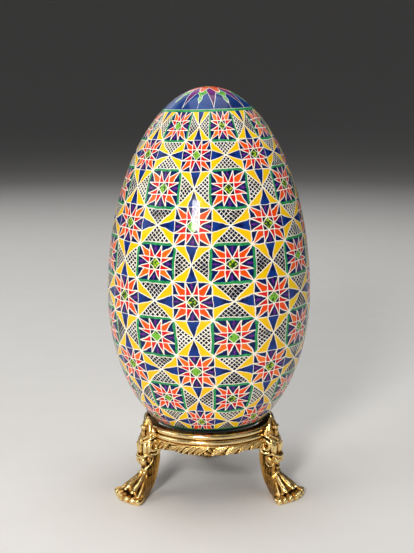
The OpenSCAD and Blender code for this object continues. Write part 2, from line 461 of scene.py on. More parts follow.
# ---------------------------------------------------------------- wax model: a solid kept as distances on a grid
class Wax:
    """Shapes joined and cut as distances in mm on a regular grid, then skinned with quads."""

    def __init__(self, lo, hi, h):
        self.lo, self.h = np.array(lo, float), h
        self.n = np.ceil((np.array(hi, float) - self.lo) / h).astype(int) + 1
        self.d = np.full(self.n, 5.0, np.float32)
        self.ax = [(self.lo[i] + h * np.arange(self.n[i])).astype(np.float32) for i in range(3)]

    def part(self, lo, hi, pad):
        s = []
        for i in range(3):
            a = int(np.floor((lo[i] - pad - self.lo[i]) / self.h))
            b = int(np.ceil((hi[i] + pad - self.lo[i]) / self.h)) + 1
            s.append(slice(max(a, 0), max(min(b, self.n[i]), 0)))
        x, y, z = (self.ax[i][s[i]] for i in range(3))
        return tuple(s), x[:, None, None], y[None, :, None], z[None, None, :]

    def join(self, s, d, k):
        a = self.d[s]
        t = np.clip(0.5 + 0.5 * (a - d) / k, 0, 1)
        self.d[s] = a + (d - a) * t - k * t * (1 - t)

    def carve(self, s, d, k):
        a = self.d[s]
        d = -d
        t = np.clip(0.5 + 0.5 * (d - a) / k, 0, 1)
        self.d[s] = a + (d - a) * t + k * t * (1 - t)

    def tube(self, pts, rad, k=0.2, cut=False, squash=(1, 1, 1)):
        """A round-ended tube of changing thickness along points, optionally flattened along an axis."""
        pts = np.array(pts, float)
        rad = np.array(rad, float)
        q = np.array(squash, np.float32)
        m = rad.max() / min(q.min(), 1.0) + 1.0 + k * 2
        s, x, y, z = self.part(pts.min(0), pts.max(0), m)
        x, y, z = x * q[0], y * q[1], z * q[2]
        best = None
        P = pts * q
        for i in range(len(pts) - 1):
            a, b = P[i], P[i + 1]
            v = b - a
            L = float(v @ v) + 1e-9
            t = np.clip(((x - a[0]) * v[0] + (y - a[1]) * v[1] + (z - a[2]) * v[2]) / L, 0, 1)
            d = np.sqrt((x - a[0] - t * v[0]) ** 2 + (y - a[1] - t * v[1]) ** 2 + (z - a[2] - t * v[2]) ** 2)
            d = d - (rad[i] + t * (rad[i + 1] - rad[i]))
            best = d if best is None else np.minimum(best, d)
        best = best.astype(np.float32)
        (self.carve if cut else self.join)(s, best, k)

    def egg(self, c, r, k=0.2, cut=False, turn=None):
        """An ellipsoid; turn is a 3x3 rotation."""
        r = np.array(r, float)
        m = r.max() + 0.8 + k * 2
        s, x, y, z = self.part(np.array(c) - 0, np.array(c) + 0, m)
        x, y, z = x - c[0], y - c[1], z - c[2]
        if turn is not None:
            T = np.array(turn, float).T
            x, y, z = (T[i][0] * x + T[i][1] * y + T[i][2] * z for i in range(3))
        k0 = np.sqrt((x / r[0]) ** 2 + (y / r[1]) ** 2 + (z / r[2]) ** 2)
        k1 = np.sqrt((x / r[0] ** 2) ** 2 + (y / r[1] ** 2) ** 2 + (z / r[2] ** 2) ** 2) + 1e-6
        (self.carve if cut else self.join)(s, (k0 * (k0 - 1) / k1).astype(np.float32), k)

    def blur(self, size):
        """Mean over a cube of the given half size, from running sums."""
        a = np.clip(self.d, -size, size).astype(np.float32)
        w = max(int(round(size / self.h)), 1)
        for ax in range(3):
            c = np.cumsum(a, axis=ax, dtype=np.float64)
            n = a.shape[ax]
            i1 = np.minimum(np.arange(n) + w, n - 1)
            i0 = np.arange(n) - w - 1
            hi = np.take(c, i1, axis=ax)
            lo = np.take(c, np.maximum(i0, 0), axis=ax)
            shape = [1, 1, 1]
            shape[ax] = n
            lo = lo * (i0 >= 0).reshape(shape)
            cnt = (i1 - np.maximum(i0, -1)).reshape(shape)
            a = ((hi - lo) / cnt).astype(np.float32)
        return a

    def sample(self, f, P):
        g = (P - self.lo) / self.h
        i = np.clip(np.floor(g).astype(int), 0, self.n - 2)
        t = g - i
        out = 0
        for dx in (0, 1):
            for dy in (0, 1):
                for dz in (0, 1):
                    w = (t[:, 0] if dx else 1 - t[:, 0]) * (t[:, 1] if dy else 1 - t[:, 1]) * (t[:, 2] if dz else 1 - t[:, 2])
                    out = out + w * f[i[:, 0] + dx, i[:, 1] + dy, i[:, 2] + dz]
        return out

    def soften(self):
        """Takes the one-cell slivers out of the field."""
        for ax in range(3):
            a = np.moveaxis(self.d, ax, 0)
            b = a.copy()
            b[1:-1] = a[1:-1] * 0.5 + (a[:-2] + a[2:]) * 0.25
            self.d = np.moveaxis(b, 0, ax)
        self.d = np.ascontiguousarray(self.d)

    def skin(self):
        """The surface as one closed mesh: pinched cells are filled until every edge has two faces."""
        for _ in range(8):
            P, Q, cells = self.nets()
            E = np.sort(np.concatenate([Q[:, [0, 1]], Q[:, [1, 2]], Q[:, [2, 3]], Q[:, [3, 0]]]), 1)
            key = E[:, 0] * len(P) + E[:, 1]
            u, c = np.unique(key, return_counts=True)
            bad = u[c > 2]
            if not len(bad):
                break
            for v in np.unique(np.concatenate([bad // len(P), bad % len(P)])):
                i, j, k = cells[v]
                q = self.d[i:i + 2, j:j + 2, k:k + 2]
                q[...] = np.minimum(q, -0.03)
        # keep the largest connected part
        order = np.argsort(key, kind="stable")
        face = order % len(Q)
        a, b = face[0::2], face[1::2]
        lab = np.arange(len(Q))
        while True:
            m = np.minimum(lab[a], lab[b])
            new = lab.copy()
            np.minimum.at(new, a, m)
            np.minimum.at(new, b, m)
            new = new[new]
            if (new == lab).all():
                break
            lab = new
        ids, n = np.unique(lab, return_counts=True)
        Q = Q[lab == ids[n.argmax()]]
        keep = np.zeros(len(P), bool)
        keep[Q.ravel()] = True
        at = np.cumsum(keep) - 1
        return self.settle(P[keep]), at[Q]

    def settle(self, P):
        """Draws the vertices onto the true surface."""
        for _ in range(3):
            g = np.stack([self.sample(self.d, P + np.eye(3)[i] * self.h * 0.6) - self.sample(self.d, P - np.eye(3)[i] * self.h * 0.6) for i in range(3)], 1)
            g /= np.linalg.norm(g, axis=1)[:, None] + 1e-9
            P = P - g * np.clip(self.sample(self.d, P), -self.h * 0.3, self.h * 0.3)[:, None] * 0.8
        return P

    def nets(self):
        """Surface nets: one vertex in each cell that the surface crosses, one quad on each crossed edge."""
        d = self.d
        d[0], d[-1] = 5, 5
        d[:, 0], d[:, -1] = 5, 5
        d[:, :, 0], d[:, :, -1] = 5, 5
        d[np.abs(d) < 1e-4] = 1e-4
        neg = d < 0
        nx, ny, nz = (k - 1 for k in d.shape)
        cnt = np.zeros((nx, ny, nz), np.int8)
        for dx in (0, 1):
            for dy in (0, 1):
                for dz in (0, 1):
                    cnt += neg[dx:dx + nx, dy:dy + ny, dz:dz + nz]
        act = (cnt > 0) & (cnt < 8)
        cid = np.full(act.shape, -1, np.int64)
        cells = np.argwhere(act)
        cid[act] = np.arange(len(cells))
        acc = np.zeros((len(cells), 3))
        num = np.zeros(len(cells))
        cx, cy, cz = cells.T
        corners = [(a, b, c) for a in (0, 1) for b in (0, 1) for c in (0, 1)]
        for p in corners:
            for ax in range(3):
                if p[ax]:
                    continue
                q = list(p)
                q[ax] = 1
                va = d[cx + p[0], cy + p[1], cz + p[2]]
                vb = d[cx + q[0], cy + q[1], cz + q[2]]
                m = (va < 0) != (vb < 0)
                t = va[m] / (va[m] - vb[m])
                pos = np.tile(np.array(p, float), (m.sum(), 1))
                pos[:, ax] = t
                acc[m] += pos
                num[m] += 1
        P = self.lo + self.h * (cells + acc / num[:, None])
        quads = []
        for ax in range(3):
            a = neg[tuple(slice(0, -1) if i == ax else slice(None) for i in range(3))]
            b = neg[tuple(slice(1, None) if i == ax else slice(None) for i in range(3))]
            e = np.argwhere(a != b)
            u, v = (ax + 1) % 3, (ax + 2) % 3
            s = a[tuple(e.T)]
            c = [e.copy() for _ in range(4)]
            c[1][:, u] -= 1
            c[2][:, u] -= 1
            c[2][:, v] -= 1
            c[3][:, v] -= 1
            ids = np.stack([cid[tuple(k.T)] for k in c], 1)
            ids[~s] = ids[~s][:, ::-1]
            quads.append(ids)
        Q = np.concatenate(quads)
        return P, Q, cells


def relax(P, Q, rounds, amount):
    """Laplacian smoothing over the edges of a quad mesh."""
    E = np.concatenate([Q[:, [0, 1]], Q[:, [1, 2]], Q[:, [2, 3]], Q[:, [3, 0]]])
    E = np.concatenate([E, E[:, ::-1]])
    n = np.bincount(E[:, 0], minlength=len(P)).astype(float)
    for _ in range(rounds):
        m = np.stack([np.bincount(E[:, 0], weights=P[E[:, 1], i], minlength=len(P)) for i in range(3)], 1) / n[:, None]
        P = P + (m - P) * amount
    return P


def outline_distance(poly, X, Y):
    """Signed distance in a plane from a closed outline."""
    poly = np.array(poly, float)
    d = np.full(np.broadcast(X, Y).shape, 1e9)
    sgn = np.ones(d.shape)
    n = len(poly)
    for i in range(n):
        a, b = poly[i - 1], poly[i]
        ex, ey = b[0] - a[0], b[1] - a[1]
        wx, wy = X - a[0], Y - a[1]
        t = np.clip((wx * ex + wy * ey) / (ex * ex + ey * ey), 0, 1)
        d = np.minimum(d, (wx - ex * t) ** 2 + (wy - ey * t) ** 2)
        c1 = (Y >= a[1]) & (Y < b[1]) & (ex * wy > ey * wx)
        c2 = (Y < a[1]) & (Y >= b[1]) & (ex * wy < ey * wx)
        sgn = np.where(c1 | c2, -sgn, sgn)
    return sgn * np.sqrt(d)


def smooth_outline(poly, rounds=2):
    """Corner cutting."""
    p = np.array(poly, float)
    for _ in range(rounds):
        q = np.roll(p, -1, 0)
        p = np.stack([p * 0.75 + q * 0.25, p * 0.25 + q * 0.75], 1).reshape(-1, 2)
    return p


def spiral(c, r0, r1, a0, turns, w0, w1, n=28):
    """Points of a spiral in the plane of the leg's flank: c is (radius, height)."""
    out = []
    for i in range(n + 1):
        f = i / n
        a = math.radians(a0) + f * turns * 2 * math.pi
        r = r0 + (r1 - r0) * f ** 0.85
        out.append((c[0] + r * math.cos(a), w0 + (w1 - w0) * f, c[1] + r * math.sin(a)))
    return out


def model_leg():
    """The cast leg in its own frame: x outward from the stand's axis, y across, z up. The flank at +y carries
    the two drops, the flank at -y the shield and small scroll."""
    W = Wax((16.0, -7.7, -0.5), (30.9, 7.7, 23.6), 0.12)
    X, Z = W.ax[0][:, None], W.ax[2][None, :]
    core = smooth_outline([
        (18.9, 20.6), (19.6, 21.8), (20.4, 21.2), (21.0, 19.6), (21.3, 17.6), (21.6, 15.2), (21.8, 12.8), (21.7, 10.4),
        (21.6, 8.4), (21.8, 6.9), (22.8, 5.2), (23.6, 3.6), (23.6, 0.5), (22.4, -0.8), (20.6, -0.8), (19.7, 1.2),
        (18.6, 3.4), (17.9, 5.5), (17.3, 7.5), (16.8, 9.6), (16.7, 11.4), (17.2, 13.2), (18.9, 14.4)], 2)
    d2 = outline_distance(core, X, Z)
    half = np.interp(W.ax[2], [0, 3, 6, 8.5, 11, 14, 18, 22, 23], [1.0, 1.5, 1.6, 1.45, 1.55, 1.9, 2.1, 1.5, 1.0])[None, :]
    r = 0.45
    a = (d2 + r)[:, None, :]
    b = np.abs(W.ax[1])[None, :, None] - (half - r)[:, None, :]
    d = np.sqrt(np.maximum(a, 0) ** 2 + np.maximum(b, 0) ** 2) + np.minimum(np.maximum(a, b), 0) - r
    W.d = np.minimum(W.d, d.astype(np.float32))

    # ---- top leaf, three soft flutes leaning out a little, with a rolled lip
    W.tube([(20.6, 0, 16.8), (20.7, 0, 18.6), (20.4, 0, 20.4), (20.0, 0, 21.8), (19.8, 0, 22.6)], [1.2, 1.25, 1.0, 0.65, 0.35], 0.3)
    for s in (1, -1):
        W.tube([(20.2, 1.7 * s, 17.4), (20.2, 1.75 * s, 19.0), (20.0, 1.35 * s, 20.6), (19.8, 0.7 * s, 21.9)], [0.8, 0.82, 0.66, 0.4], 0.16)
        W.tube([(19.4, 2.5 * s, 17.6), (19.5, 2.45 * s, 18.8), (19.6, 2.0 * s, 20.0)], [0.6, 0.6, 0.4], 0.12)
        W.tube([(21.3, 0.95 * s, 17.9), (21.15, 0.85 * s, 19.2), (20.7, 0.6 * s, 20.8)], [0.12, 0.2, 0.1], 0.14, cut=True)
    # rolled lip: a small scroll across the leaf
    W.tube([(21.35, -0.75, 19.9), (21.45, 0, 20.0), (21.35, 0.75, 19.9)], [0.62, 0.72, 0.62], 0.14)
    for s in (1, -1):
        W.egg((21.4, 1.5 * s, 19.95), (0.26, 0.5, 0.28), 0.1, cut=True)
    # two folds round the neck of the knee, high at the band and low outside
    for s in (1, -1):
        W.tube([(19.5, 2.7 * s, 18.6), (20.4, 2.4 * s, 18.1), (21.2, 1.8 * s, 17.4), (21.8, 1.1 * s, 16.9), (22.0, 0, 16.7)],
               [0.24, 0.30, 0.32, 0.30, 0.28], 0.14)
        W.tube([(19.5, 2.9 * s, 17.6), (20.5, 2.65 * s, 17.1), (21.4, 2.1 * s, 16.4), (22.1, 1.2 * s, 15.8), (22.35, 0, 15.6)],
               [0.26, 0.36, 0.40, 0.36, 0.34], 0.10)

    # ---- knee: hanging acanthus blades over the outside
    W.tube([(21.9, 0, 16.0), (22.1, 0, 14.8), (22.15, 0, 13.4), (22.0, 0, 12.4)], [0.75, 0.92, 0.78, 0.5], 0.2)
    for s in (1, -1):
        W.tube([(21.5, 1.5 * s, 16.0), (21.75, 1.9 * s, 14.8), (21.8, 1.8 * s, 13.3), (21.9, 1.4 * s, 12.3)], [0.62, 0.82, 0.68, 0.42], 0.10)
        W.tube([(22.95, 0.75 * s, 15.6), (23.05, 0.95 * s, 14.4), (22.8, 0.8 * s, 12.9)], [0.06, 0.15, 0.08], 0.12, cut=True)
        W.tube([(22.2, 2.45 * s, 15.6), (22.45, 2.75 * s, 14.4), (22.3, 2.4 * s, 13.0)], [0.06, 0.16, 0.08], 0.12, cut=True)
    # one more blade lies between the scroll and the side blade on the +y flank
    W.tube([(20.9, 2.5, 16.3), (21.05, 2.75, 15.0), (21.0, 2.55, 13.6), (21.3, 2.0, 12.6)], [0.42, 0.58, 0.5, 0.34], 0.08)
    W.tube([(21.2, -2.5, 16.2), (21.5, -2.6, 14.9), (21.4, -2.4, 13.5), (21.5, -1.9, 12.5)], [0.32, 0.44, 0.4, 0.3], 0.08)

    # ---- volutes at the band, one on each flank
    for s in (1, -1):
        w = 2.55
        W.tube([(18.6, 1.7 * s, 13.7), (19.7, 1.8 * s, 14.4)], [1.5, 2.0], 0.2, squash=(1, 2.4, 1))
        path = spiral((19.55, 14.6), 1.95, 0.72, 222, -1.22, w * s, (w + 0.30) * s)
        W.tube(path, np.linspace(0.50, 0.36, 29), 0.06)
        # the root of the scroll comes out from under the band and makes the corner below it
        W.tube([(17.2, 1.5 * s, 13.3), (17.7, 2.2 * s, 13.2), (18.1, w * s, 13.5), (18.4, w * s, 13.7)], [0.55, 0.58, 0.55, 0.5], 0.15)
        W.tube([(17.4, 1.9 * s, 13.1), (18.3, (w + 0.1) * s, 12.7), (19.3, (w + 0.1) * s, 12.45), (20.3, (w - 0.1) * s, 12.55)], [0.34, 0.42, 0.40, 0.30], 0.10)
        if s < 0:
            W.egg((19.6, (w + 0.6) * s, 14.55), (0.46, 1.0, 0.56), 0.08, cut=True)
        else:
            W.egg((19.6, (w + 0.7) * s, 14.55), (0.34, 0.7, 0.40), 0.08, cut=True)
        # broken leaf tips between scroll and ring
        W.egg((19.35, 3.35 * s, 16.6), (0.55, 0.5, 0.40), 0.08)
        W.egg((18.95, 4.05 * s, 15.9), (0.5, 0.45, 0.42), 0.08)
        W.egg((18.95, 4.1 * s, 14.9), (0.45, 0.42, 0.40), 0.08)

    # ---- collar under the knee, an angled rim with its peak on each flank
    for s in (1, -1):
        W.tube([(22.95, 0, 11.55), (22.85, 1.1 * s, 11.65), (22.1, 1.9 * s, 12.05), (21.3, 2.2 * s, 12.4), (20.4, 2.15 * s, 11.9), (19.4, 1.8 * s, 11.4)],
               [0.50, 0.46, 0.42, 0.38, 0.34, 0.28], 0.10)
    # drops on the +y flank
    W.egg((22.15, 1.25, 10.55), (0.98, 0.98, 1.30), 0.08)
    W.egg((20.65, 1.65, 10.85), (0.68, 0.62, 1.05), 0.08)
    W.tube([(19.35, 1.7, 11.2), (19.7, 1.8, 10.0), (20.7, 1.8, 9.0), (21.5, 1.6, 8.3)], [0.24, 0.26, 0.26, 0.3], 0.10)
    W.egg((21.6, 1.4, 8.0), (0.55, 0.5, 0.6), 0.15)
    # shield and small scroll on the -y flank
    W.tube([(19.7, -1.45, 10.9), (20.3, -1.5, 10.2), (20.8, -1.45, 9.4)], [0.95, 1.05, 0.75], 0.08, squash=(1, 1.25, 1))
    W.tube([(19.0, -1.75, 11.0), (19.4, -1.85, 9.2), (20.2, -1.8, 8.4), (21.3, -1.75, 8.7), (21.6, -1.7, 9.4)], [0.20, 0.22, 0.24, 0.22, 0.20], 0.10)
    W.egg((22.05, -1.2, 10.5), (0.95, 0.8, 1.25), 0.15)
    W.tube(spiral((22.0, 10.75), 0.82, 0.3, 120, 1.2, -1.80, -1.95, 18), np.linspace(0.32, 0.2, 19), 0.08)
    W.egg((22.0, -2.3, 10.75), (0.2, 0.5, 0.22), 0.08, cut=True)
    # outer face between the two flanks: a small tongue
    W.tube([(22.3, 0, 11.4), (22.5, -0.1, 10.3), (22.0, 0, 9.0)], [0.5, 0.62, 0.35], 0.12)

    # ---- ankle knot
    W.tube([(22.0, 0, 7.9), (21.9, 0.9, 7.75), (21.3, 1.5, 7.5)], [0.34, 0.32, 0.24], 0.12)
    W.egg((21.8, 1.2, 6.9), (0.6, 0.5, 0.62), 0.2)
    # cuff of the foot's leaf on the -y flank
    W.tube([(19.9, -1.45, 4.3), (20.8, -1.75, 5.0), (21.8, -1.65, 6.0), (22.4, -1.0, 6.8), (22.5, 0, 7.1)], [0.22, 0.30, 0.34, 0.34, 0.34], 0.12)

    # ---- foot: one body whose plain flanks fan out from the heel
    s_, x, y, z = W.part((17, -7.6, -0.6), (30.4, 7.6, 8.4), 0.2)
    zz = W.ax[2][s_[2]]
    heel = np.interp(zz, [0, 1.5, 3, 5, 7, 8], [20.3, 19.8, 18.9, 18.1, 17.6, 17.3])[None, None, :]
    w0 = np.interp(zz, [0, 3, 5, 8], [0.7, 1.15, 1.35, 1.4])[None, None, :]
    sl = np.interp(zz, [0, 3, 5, 7, 8], [0.94, 0.60, 0.28, 0.05, 0.0])[None, None, :]
    ya = np.abs(y)
    flank = (ya - (w0 + sl * (x - heel))) / np.sqrt(1 + sl * sl)
    mid = np.clip((ya - (1.85 + 0.58 * (x - 23.8))) / 1.2, 0, 1)
    top = np.interp(x, [21, 22, 23, 24.6, 26.1, 27.1, 28], [7.5, 6.95, 5.9, 4.75, 3.85, 3.0, 2.4]) - 0.32 * ya - 1.1 * mid * mid * (3 - 2 * mid)
    lip = np.clip((x + 0.12 * ya - 26.5) / 0.8, 0, 1)
    lip = lip * lip * (3 - 2 * lip)
    top = np.maximum(top * (1 - lip) + 1.35 * lip, 1.15)
    front = x - (28.5 - 0.036 * ya ** 2)
    side = ya - 6.5
    d = np.maximum(np.maximum(flank, (z - top) * 0.8), np.maximum(np.maximum(front, side), heel - x))
    W.join(s_, d.astype(np.float32), 0.35)
    # flutes of the leaf that covers the instep
    fl = [
        ([(21.9, 0, 6.9), (23.0, 0, 5.6), (24.6, 0, 4.4), (26.1, 0, 3.6), (27.1, 0, 3.0)], [0.60, 0.74, 0.76, 0.66, 0.38], (0,)),
        ([(21.8, 0.8, 6.6), (22.9, 1.3, 5.2), (24.3, 1.95, 3.95), (25.7, 2.4, 3.15), (26.7, 2.65, 2.6)], [0.52, 0.70, 0.74, 0.64, 0.36], (1, -1)),
        ([(21.7, 1.4, 5.8), (22.6, 2.2, 4.3), (23.8, 3.2, 3.05), (25.0, 4.1, 2.2), (25.9, 4.6, 1.7)], [0.40, 0.54, 0.60, 0.54, 0.36], (1, -1)),
    ]
    for p, rr, sides in fl:
        for s in sides:
            s = s or 1
            W.tube([(q[0], q[1] * s, q[2]) for q in p], [1.12 * v for v in rr], 0.24)
    for s in (1, -1):
        # grooves between the flutes
        W.tube([(22.6, 0.68 * s, 6.35), (24.4, 0.98 * s, 5.0), (26.5, 1.3 * s, 3.9)], [0.05, 0.11, 0.10], 0.16, cut=True)
        W.tube([(22.3, 1.65 * s, 5.9), (23.9, 2.6 * s, 4.15), (25.5, 3.35 * s, 3.05)], [0.05, 0.11, 0.10], 0.16, cut=True)
        # ends of the flutes curl over a hollow
        W.egg((26.75, 2.65 * s, 2.6), (0.50, 0.56, 0.40), 0.10)
        W.egg((27.6, 1.35 * s, 2.1), (0.85, 1.2, 0.40), 0.15, cut=True)
        W.egg((26.9, 3.75 * s, 1.8), (0.75, 0.8, 0.28), 0.12, cut=True)
        # ridge that parts the flutes from the plain flank
        W.tube([(21.3, 1.6 * s, 6.4), (21.9, 2.2 * s, 4.8), (23.0, 3.3 * s, 3.1), (24.6, 4.8 * s, 1.7), (26.0, 6.0 * s, 0.8)],
               [0.28, 0.32, 0.34, 0.38, 0.42], 0.14)
    W.egg((27.2, 0, 3.0), (0.55, 0.62, 0.42), 0.10)
    # toes, drawn out to points along a nearly straight line
    for yy, xx, rr in ((0.0, 28.35, 0.98), (2.2, 28.15, 0.90), (-2.2, 28.15, 0.90), (4.2, 27.55, 0.86), (-4.2, 27.55, 0.86), (5.85, 26.85, 0.70), (-5.85, 26.85, 0.70)):
        W.tube([(24.4, yy * 0.74, 0.9), (xx - 1.2, yy * 0.95, 1.05 + 0.12 * math.sin(yy * 5)), (xx + 0.2 * math.sin(yy * 3), yy, 0.85)], [0.7, rr * 0.95, rr], 0.26)
    W.tube([(28.9, -0.9, 1.65), (29.3, 0, 1.85), (28.9, 0.9, 1.65)], [0.3, 0.40, 0.3], 0.15)
    for s in (1, -1):
        W.egg((28.4, 1.12 * s, 2.0), (0.9, 0.14, 0.4), 0.10, cut=True)
        W.egg((28.1, 3.2 * s, 1.9), (0.9, 0.14, 0.4), 0.10, cut=True)

    # ---- flats: table at z = 0, band and ring behind the leg above z = 13.95
    sl_, x, y, z = W.part((16, -8, -1), (31, 8, 24), 0)
    W.d = np.maximum(W.d, -z + 0.0)
    rr = np.sqrt(x * x + y * y)
    W.d = np.maximum(W.d, np.minimum(18.95 - rr, z - 13.98) + 0 * W.d)
    return W


def leg_mesh():
    W = model_leg()
    W.soften()
    fine = W.blur(0.36)
    wide = W.blur(1.1)
    P, Q = W.skin()
    P = relax(P, Q, 2, 0.35)
    hollow = W.sample(fine, P) * 2.2 + W.sample(wide, P) * 1.0
    # painted shade: the plain flanks and the back of the shank are painted darker, with faint vertical streaks in it
    plain = np.clip((13.5 - P[:, 2]) / 2.0, 0, 1) * np.clip((np.abs(P[:, 1]) * 0.9 + 21.4 - P[:, 0]) / 1.2, 0, 1)
    streak = 0.045 * np.sin(P[:, 0] * 7.0 + 1.2 * np.sin(P[:, 2] * 1.1)) + 0.02 * np.sin(P[:, 0] * 21.0 + P[:, 2])
    hollow -= plain * (0.17 + streak)
    # painted shade: the top leaf above z = 17.5 is painted darker
    hollow -= 0.14 * np.clip((P[:, 2] - 17.5) / 1.5, 0, 1)
    P[:, 2] = np.maximum(P[:, 2], 0.0)
    return P, Q, hollow


def twist_foot(P, deg):
    """Turns the foot of a casting about its shank, as a leg bent a little in the mould."""
    a = np.radians(deg) * np.clip((8.5 - P[:, 2]) / 7.5, 0, 1)
    x, y = P[:, 0] - 20.5, P[:, 1]
    return np.stack([20.5 + x * np.cos(a) - y * np.sin(a), x * np.sin(a) + y * np.cos(a), P[:, 2]], 1)


def rotate_z(P, deg):
    c, s = math.cos(math.radians(deg)), math.sin(math.radians(deg))
    return np.stack([P[:, 0] * c - P[:, 1] * s, P[:, 0] * s + P[:, 1] * c, P[:, 2]], 1)


def put_hollow(ob, values):
    at = ob.data.attributes.new("relief", "FLOAT", "POINT")
    at.data.foreach_set("value", np.asarray(values, np.float32))


def arc(c, r, a0, a1, n):
    return [(c[0] + r * math.cos(math.radians(a)), c[1] + r * math.sin(math.radians(a))) for a in np.linspace(a0, a1, n)]


def lathe(name, prof, seg, mats, wobble=None, relief=None):
    """A turned body from a closed profile of (radius, height), anticlockwise seen with height up."""
    n = len(prof)
    prof = np.array(prof, float)
    ang = np.arange(seg) * 2 * np.pi / seg
    R = np.repeat(prof[None, :, 0], seg, 0)
    Z = np.repeat(prof[None, :, 1], seg, 0)
    if wobble is not None:
        dR, dZ = wobble(ang[:, None], prof[None, :, 0], prof[None, :, 1])
        R, Z = R + dR, Z + dZ
    V = np.stack([R * np.cos(ang)[:, None], R * np.sin(ang)[:, None], Z], 2).reshape(-1, 3)
    F = []
    for j in range(seg):
        k = (j + 1) % seg
        for i in range(n):
            m = (i + 1) % n
            F.append((j * n + i, k * n + i, k * n + m, j * n + m))
    ob = new_mesh(name, V, F, mats)
    put_hollow(ob, np.tile(relief, seg) if relief is not None else np.zeros(len(V)))
    return ob


def make_ring(mat):
    prof = [(15.80, 16.95), (18.3, 16.93)]
    prof += arc((18.4, 17.68), 0.74, -78, 62, 16)
    prof += [(18.62, 18.40), (18.50, 18.44), (18.42, 18.47), (18.50, 18.50)]
    prof += arc((18.1, 19.2), 0.78, -48, 96, 18)
    prof += [(17.75, 19.86), (17.5, 19.70), (17.2, 19.52), (16.8, 19.46), (16.5, 19.56)]
    prof += arc((16.08, 19.40), 0.50, 50, 180, 10)
    prof += [(15.56, 19.1), (15.56, 18.2), (15.58, 17.4), (15.65, 17.05)]
    rel = []
    for r, z in prof:
        d = math.hypot(r - 18.45, z - 18.47)
        e = math.hypot(r - 17.1, (z - 19.7) * 2)
        v = 0.45 - 1.5 * math.exp(-(d / 0.22) ** 2) - 0.35 * math.exp(-(e / 0.5) ** 2)
        v -= 0.7 * math.exp(-((z - 16.9) / 0.16) ** 2)
        # painted shade on the inner seat under the egg, inside r = 17.75
        v -= 0.72 * min(max((17.75 - r) / 0.25, 0.0), 1.0)
        rel.append(v)

    def wobble(a, r, z):
        w = 0.012 * np.sin(5 * a + 1.0) + 0.009 * np.sin(11 * a + 2.0 + r) + 0.006 * np.sin(23 * a + z * 2)
        return w, 0.012 * np.sin(3 * a + 0.5) + 0.007 * np.sin(13 * a + r * 3)

    return lathe("seat_ring_turned", prof, 384, [mat], wobble, np.array(rel))


def band_relief(th, v):
    """Height in mm of the cast leaf work at angle th (radians) and height v over z = 14.2."""
    rng = np.random.default_rng(7)
    H = 0.10 + 0.05 * np.sin(th * 71 + v * 5) + 0.0 * v
    sector = []
    for i in range(5):                                   # broad leaves to the right of each sector's middle
        sector.append((1.5 + 11.6 * i, 1.05 - 0.05 * i, 1.12, 1))
    for i in range(10):                                  # narrow leaves to its left
        sector.append((-9.0 - 4.8 * i, 1.12 - 0.02 * i, 0.56, 0))
    for k in range(3):
        for a0, size, wid, broad in sector:
            j = rng.normal(0, 1, 4)
            base = math.radians(-90 + 120 * k + a0 + 0.5 * j[0])
            phi = abs(a0) / 50.0
            lift = 0.22 * min(phi, 1.1) ** 2
            # leaf axis from its root low on the left to its tip high on the right
            L = (4.9 if broad else 3.5) * size
            slope = (0.50 if broad else 0.68) + 0.07 * j[1]
            du = (((th - base + np.pi) % (2 * np.pi)) - np.pi) * 19.0
            dv = v - (0.36 + lift)
            ca, sa = math.cos(slope), math.sin(slope)
            a = (du * ca + dv * sa) / L
            b = -du * sa + dv * ca
            b = b - 0.16 * np.sin(np.clip(a, 0, 1) * np.pi * 1.3)
            ac = np.clip(a, 1e-3, 0.999)
            w = wid * (np.sin(np.pi * ac ** 0.75)) ** 0.8 * (1.0 + 0.16 * np.abs(np.sin(ac * np.pi * (4.5 if broad else 3.0)))) + 1e-3
            q = np.clip(1 - (b / w) ** 2, 0, 1)
            h = (0.66 if broad else 0.58) * np.sqrt(q) * (0.72 + 0.28 * ac) + 0.02 * j[2]
            h = h - 0.20 * np.exp(-(b / 0.085) ** 2) * (q > 0.05)
            if broad:
                h = h - 0.09 * (0.5 + 0.5 * np.cos((a * 9 - np.abs(b) * 3.2) * 2 * np.pi / 1.5)) * (q > 0.1)
            h = np.where((a > 0) & (a < 1), h, 0)
            H = np.maximum(H, h)
            # curl at the leaf's root and a bead above it
            cu, cv = du - 0.15, dv - 0.02
            r = np.sqrt(cu * cu + cv * cv)
            R = 0.42 if broad else 0.30
            H = np.maximum(H, np.where(r < R, 0.55 * np.sqrt(np.clip(1 - (r / R) ** 2, 0, 1)) - 0.22 * np.exp(-(r / 0.12) ** 2), 0))
            if broad:
                cu, cv = du - 0.9, dv - 1.25
                r = np.sqrt(cu * cu + cv * cv)
                H = np.maximum(H, np.where(r < 0.34, 0.42 * np.sqrt(np.clip(1 - (r / 0.34) ** 2, 0, 1)), 0))
        # small scrolls and a pointed drop at the middle of the sector
        base = math.radians(-90 + 120 * k)
        du = (((th - base + np.pi) % (2 * np.pi)) - np.pi) * 19.0
        for cu, cv, R in ((-1.3, 0.75, 0.62), (0.5, 0.35, 0.55), (-0.35, 1.75, 0.5)):
            x, y = du - cu, v - cv
            r = np.sqrt(x * x + y * y)
            ang = np.arctan2(y, x)
            swirl = 0.5 + 0.5 * np.cos(ang - r * 9.0)
            H = np.maximum(H, np.where(r < R, (0.30 + 0.30 * swirl) * np.sqrt(np.clip(1 - (r / R) ** 2, 0, 1)), 0))
    # upper bead line
    H = np.maximum(H, 0.34 * np.sqrt(np.clip(1 - ((v - 2.58) / 0.28) ** 2, 0, 1)))
    # room for the legs
    clear = np.ones_like(H)
    for k in range(3):
        base = math.radians(-150 + 120 * k)
        da = np.abs(((th - base + np.pi) % (2 * np.pi)) - np.pi)
        clear = np.minimum(clear, np.clip((da - math.radians(6.5)) / math.radians(3.0), 0.15, 1))
    return H * clear


